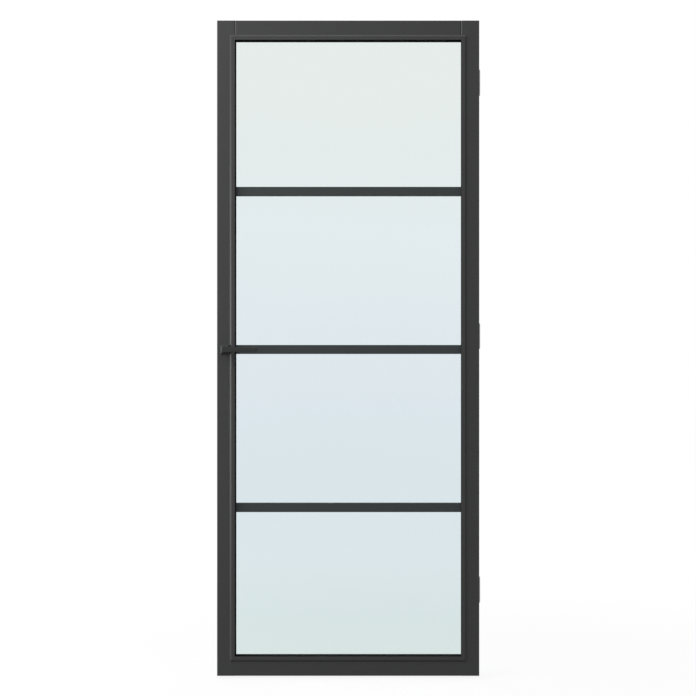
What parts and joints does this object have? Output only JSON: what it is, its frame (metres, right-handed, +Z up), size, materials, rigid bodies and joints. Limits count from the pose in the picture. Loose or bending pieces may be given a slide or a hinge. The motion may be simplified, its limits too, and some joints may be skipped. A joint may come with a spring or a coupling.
{
  "type": "glass interior door",
  "caption": "Slim-framed glass interior door leaf with flat cross bars over a tall sheet, raised beads, square roses with slim levers, a flush magnetic latch and butt hinges.",
  "frame": {"origin": "the middle of the leaf's bottom edge, at mid thickness", "axes": "+Z up, +X to the right towards the hinges, -Y out of the front face that the picture shows"},
  "size_m": [0.8173, 0.139, 2.032],
  "materials": {
    "frame_paint": "satin anthracite paint on engineered timber",
    "bead_paint": "satin anthracite paint",
    "bar_paint": "satin anthracite paint",
    "dowel_wood": "fluted beech",
    "glass": "toughened, clear and slightly milky against a pale room",
    "glazing_tape": "closed-cell foam tape",
    "bar_tape": "closed-cell foam tape",
    "setting_block": "moulded packer",
    "handle_paint": "satin anthracite powder coat on zinc",
    "zinc_plated_steel": "zinc plated",
    "bush_nylon": "moulded nylon",
    "dark_screw_steel": "black oxide",
    "satin_steel": "satin",
    "magnet_plating": "nickel plated",
    "spring_wire": "drawn wire"
  },
  "bodies": {
    "frame_hinges": {"bottom_hinge_frame_plate": "satin_steel", "bottom_hinge_pin": "satin_steel", "middle_hinge_frame_plate": "satin_steel", "middle_hinge_pin": "satin_steel", "top_hinge_frame_plate": "satin_steel", "top_hinge_pin": "satin_steel"},
    "door_leaf": {"back_bar_bottom": "bar_paint", "back_bar_middle": "bar_paint", "back_bar_top": "bar_paint", "back_bead_bottom": "bead_paint", "back_bead_hinge_side": "bead_paint", "back_bead_latch_side": "bead_paint", "back_bead_top": "bead_paint", "bar_tapes": "bar_tape", "bolt_spring": "spring_wire", "bottom_hinge_leaf_plate": "satin_steel", "bottom_rail": "frame_paint", "cover_screws": "zinc_plated_steel", "follower_spring": "spring_wire", "forend_screws": "satin_steel", "frame_dowels": "dowel_wood", "front_bar_bottom": "bar_paint", "front_bar_middle": "bar_paint", "front_bar_top": "bar_paint", "front_bead_bottom": "bead_paint", "front_bead_hinge_side": "bead_paint", "front_bead_latch_side": "bead_paint", "front_bead_top": "bead_paint", "glass_pane": "glass", "glazing_tape_back": "glazing_tape", "glazing_tape_front": "glazing_tape", "hinge_screws": "satin_steel", "hinge_stile": "frame_paint", "latch_case": "zinc_plated_steel", "latch_cover": "zinc_plated_steel", "latch_forend": "satin_steel", "latch_stile": "frame_paint", "lever_bushes": "bush_nylon", "middle_hinge_leaf_plate": "satin_steel", "rose_bolts": "zinc_plated_steel", "rose_cover_back": "handle_paint", "rose_cover_front": "handle_paint", "rose_plate_back": "zinc_plated_steel", "rose_plate_front": "zinc_plated_steel", "setting_blocks": "setting_block", "top_hinge_leaf_plate": "satin_steel", "top_rail": "frame_paint"},
    "lever_set": {"lever_front": "handle_paint", "lever_back": "handle_paint", "spindle": "zinc_plated_steel", "grub_screws": "dark_screw_steel", "follower": "zinc_plated_steel"},
    "bolt": {"latch_bolt": "satin_steel", "bolt_magnet": "magnet_plating"}
  },
  "joints": [
    {"name": "door_swing", "type": "hinge", "parent": "frame_hinges", "child": "door_leaf", "pos_m": [0.4068, 0.022, 1.0535], "axis": [0, 0, -1], "range_deg": [0, 180]},
    {"name": "lever_turn", "type": "hinge", "parent": "door_leaf", "child": "lever_set", "pos_m": [-0.3815, 0, 1.012], "axis": [0, 1, 0], "range_deg": [0, 40], "stiffness_Nm_per_rad": 1, "springref_deg": -40.11, "deforming": ["follower_spring"]},
    {"name": "bolt_slide", "type": "slide", "parent": "door_leaf", "child": "bolt", "axis": [-1, 0, 0], "range_m": [0, 0.01], "stiffness_N_per_m": 60, "springref_m": -0.01, "deforming": ["bolt_spring"]}
  ]
}
